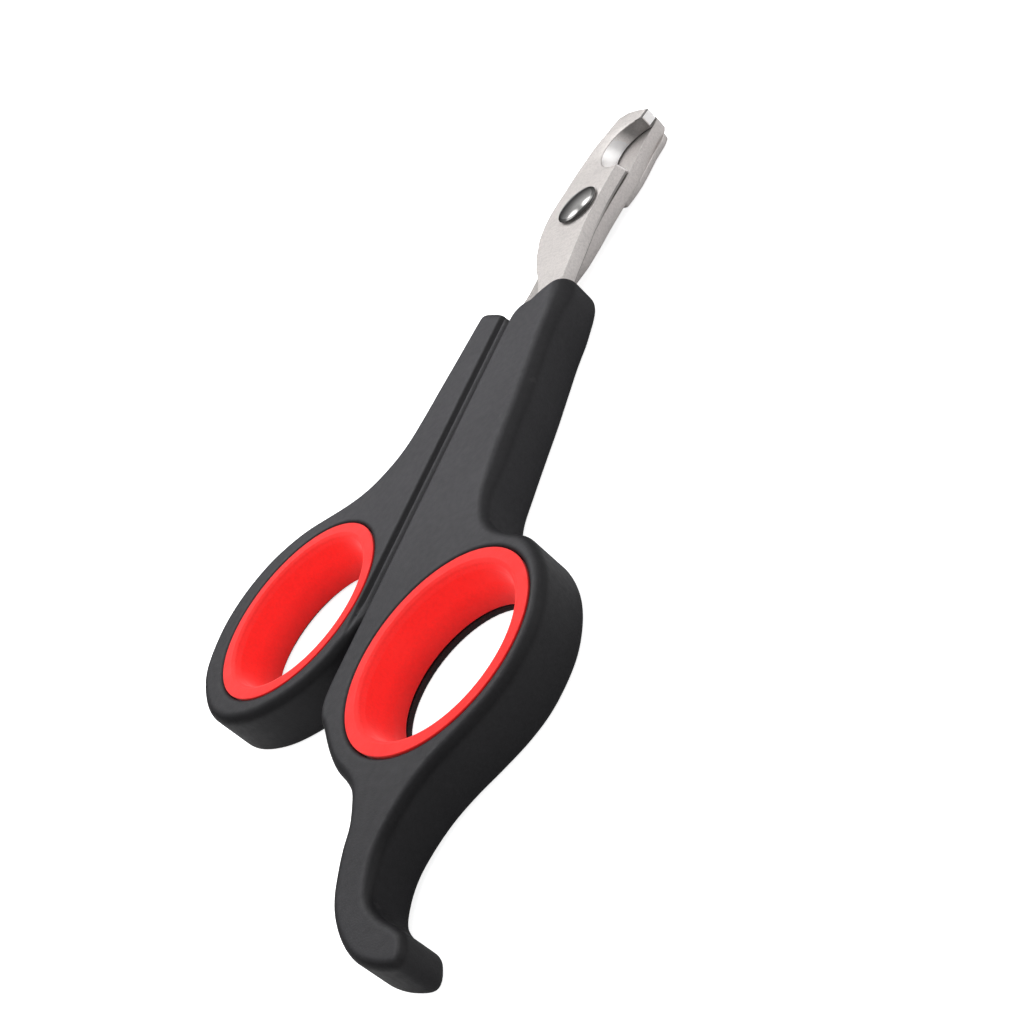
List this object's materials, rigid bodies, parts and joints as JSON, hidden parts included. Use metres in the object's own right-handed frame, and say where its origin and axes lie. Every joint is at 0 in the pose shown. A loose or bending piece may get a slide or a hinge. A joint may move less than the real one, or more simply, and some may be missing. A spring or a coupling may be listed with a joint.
{
  "type": "pet nail trimmer",
  "caption": "Scissor-style pet nail trimmer with notched steel blades, soft-touch handles, red finger-ring liners and a curved finger rest.",
  "frame": {"origin": "middle of the footprint, on the surface the closed trimmer rests on", "axes": "+Z along the pivot axis towards the domed nut, +Y along the closing line of the handles towards the blade tips, +X towards the finger handle"},
  "size_m": [0.061, 0.1198, 0.0068],
  "materials": {
    "handle_plastic": "soft-touch near-black plastic, fine grain",
    "liner_rubber": "red soft elastomer, satin",
    "blade_steel": "satin ground stainless steel",
    "pivot_steel": "polished steel pivot hardware"
  },
  "bodies": {
    "finger_side": {"finger_handle": "handle_plastic", "front_blade": "blade_steel", "finger_ring_liner": "liner_rubber", "pivot_dome_nut": "pivot_steel", "pivot_screw": "pivot_steel", "tension_washer": "pivot_steel"},
    "thumb_side": {"thumb_handle": "handle_plastic", "rear_blade": "blade_steel", "thumb_ring_liner": "liner_rubber"}
  },
  "joints": [
    {"name": "blade_pivot", "type": "hinge", "parent": "finger_side", "child": "thumb_side", "pos_m": [0.0019, 0.0425, 0.0034], "axis": [0, 0, -1], "range_deg": [0, 60]}
  ]
}
